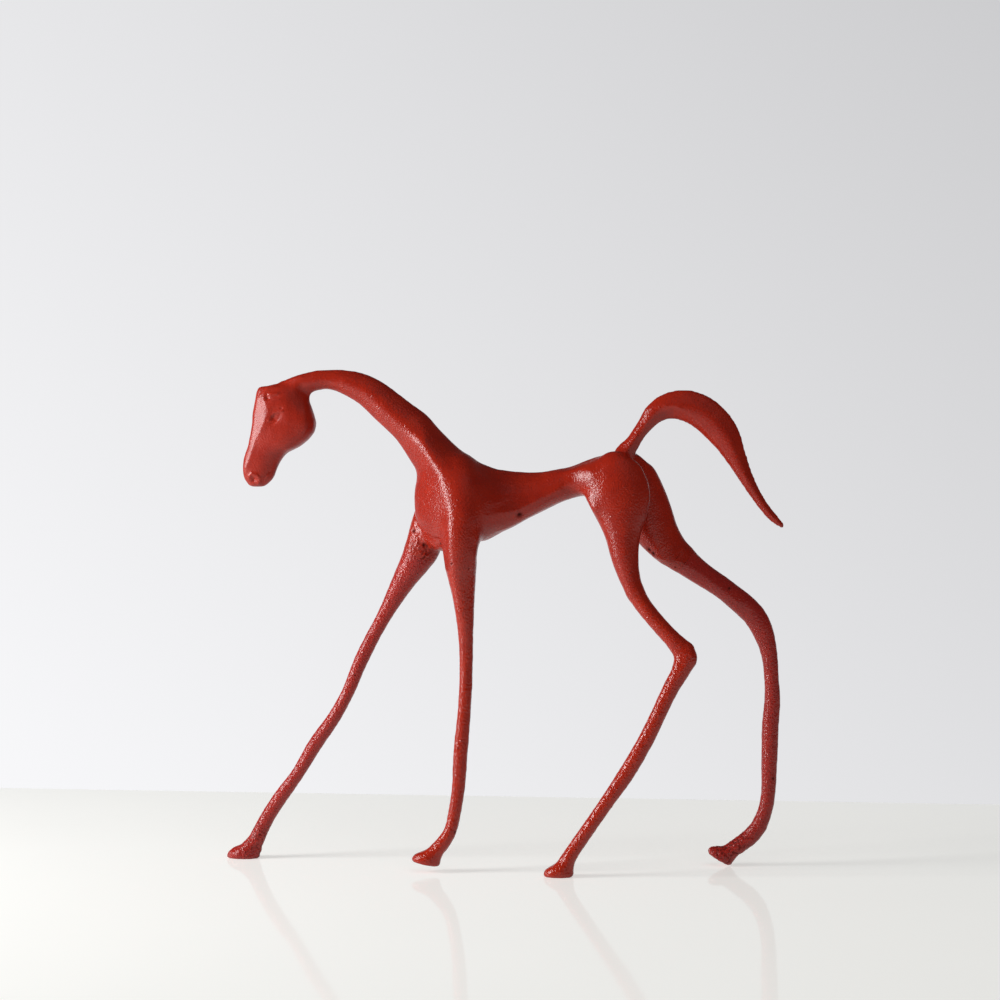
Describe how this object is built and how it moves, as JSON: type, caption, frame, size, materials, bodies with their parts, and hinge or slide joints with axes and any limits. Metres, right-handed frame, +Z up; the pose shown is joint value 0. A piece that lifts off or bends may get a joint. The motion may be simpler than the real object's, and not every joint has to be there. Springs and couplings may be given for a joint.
{
  "type": "horse figurine",
  "caption": "Slender stylised walking horse with arched neck, leaf-shaped tail and stick-thin legs, welded from metal castings and painted red.",
  "frame": {"origin": "on the floor under the middle of the overall box", "axes": "+X along the horse towards its tail, +Y towards its far side (its left side faces -Y), +Z up"},
  "size_m": [0.2904, 0.0538, 0.2553],
  "materials": {
    "casting_paint": "semi-gloss red enamel over sand-cast grain",
    "weld_paint": "semi-gloss red enamel over a ground weld",
    "dowel_steel": "plain drawn steel"
  },
  "bodies": {
    "root": {"head": "casting_paint", "body": "casting_paint", "tail": "casting_paint", "near_foreleg": "casting_paint", "far_foreleg": "casting_paint", "near_hind_leg": "casting_paint", "far_hind_leg": "casting_paint", "head_weld": "weld_paint", "near_foreleg_weld": "weld_paint", "far_foreleg_weld": "weld_paint", "near_hind_leg_weld": "weld_paint", "far_hind_leg_weld": "weld_paint", "tail_weld": "weld_paint", "head_dowel": "dowel_steel", "near_foreleg_dowel": "dowel_steel", "far_foreleg_dowel": "dowel_steel", "near_hind_leg_dowel": "dowel_steel", "far_hind_leg_dowel": "dowel_steel", "tail_dowel": "dowel_steel"}
  },
  "joints": []
}
